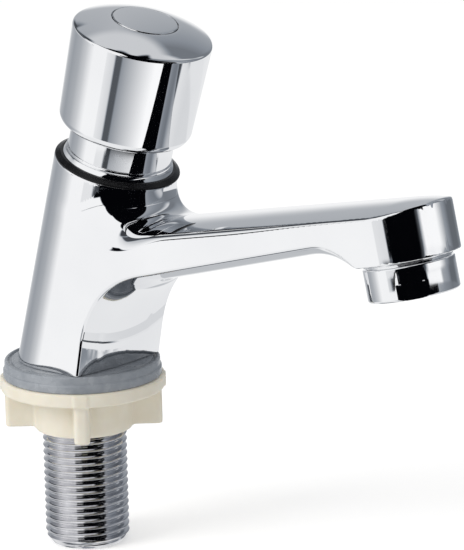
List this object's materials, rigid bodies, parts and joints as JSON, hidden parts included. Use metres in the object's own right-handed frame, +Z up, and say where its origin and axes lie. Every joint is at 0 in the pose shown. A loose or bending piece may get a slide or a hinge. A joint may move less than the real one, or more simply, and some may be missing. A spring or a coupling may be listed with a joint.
{
  "type": "basin tap",
  "caption": "Self-closing push-button basin tap: forward-leaning chromed column, rising round-ended spout, threaded tail with wing nut and gasket, hollow body with a spring cartridge.",
  "frame": {"origin": "centre of the deck plane, on the axis of the threaded tail, where the gasket's underside meets the basin", "axes": "+Z up along the tail's axis, +X horizontally towards the spout's tip, +Y completes a right-handed frame; XZ is the mirror plane"},
  "size_m": [0.1372, 0.0406, 0.1365],
  "materials": {
    "chrome_plate": "polished chrome plate over cast brass",
    "plated_thread": "chrome plate, duller in the thread",
    "gasket_rubber": "moulded blue-grey, slight sheen",
    "ivory_plastic": "moulded ivory plastic, satin",
    "black_rubber": "black rubber",
    "brass": "turned brass",
    "steel": "stainless steel",
    "white_plastic": "moulded white plastic",
    "steel_mesh": "stainless steel, punched"
  },
  "bodies": {
    "tap": {"body": "chrome_plate", "threaded_tail": "plated_thread", "tail_o_ring": "black_rubber", "inlet_filter": "white_plastic", "base_gasket": "gasket_rubber", "cartridge_housing": "white_plastic", "plug_o_ring": "black_rubber", "housing_o_ring": "black_rubber", "cartridge_head": "brass", "metering_pin": "steel", "spindle_o_ring": "black_rubber", "return_spring": "steel", "bonnet_seal": "black_rubber", "bonnet_collar": "chrome_plate", "bonnet_sleeve": "chrome_plate", "aerator_housing": "chrome_plate", "aerator_washer": "black_rubber", "aerator_core": "white_plastic", "aerator_screen": "steel_mesh"},
    "plunger": {"piston": "white_plastic", "piston_lip_seal": "black_rubber"},
    "button": {"spindle": "brass", "valve_washer": "black_rubber", "spindle_clip": "steel", "push_cap": "chrome_plate", "index_cap": "chrome_plate", "cap_screw": "steel"},
    "nut": {"back_nut": "ivory_plastic"}
  },
  "joints": [
    {"name": "button_press", "type": "slide", "parent": "tap", "child": "plunger", "axis": [-0.2807, 0, -0.9598], "range_m": [0, 0.0055], "stiffness_N_per_m": 2360, "springref_m": -0.0051, "deforming": ["return_spring"]},
    {"name": "button_spin", "type": "hinge", "parent": "plunger", "child": "button", "pos_m": [0.02316, 0, 0.08638], "axis": [0.2807, 0, 0.9598], "continuous": true},
    {"name": "nut_travel", "type": "slide", "parent": "tap", "child": "nut", "axis": [0, 0, -1], "range_m": [0, 0.028]}
  ]
}
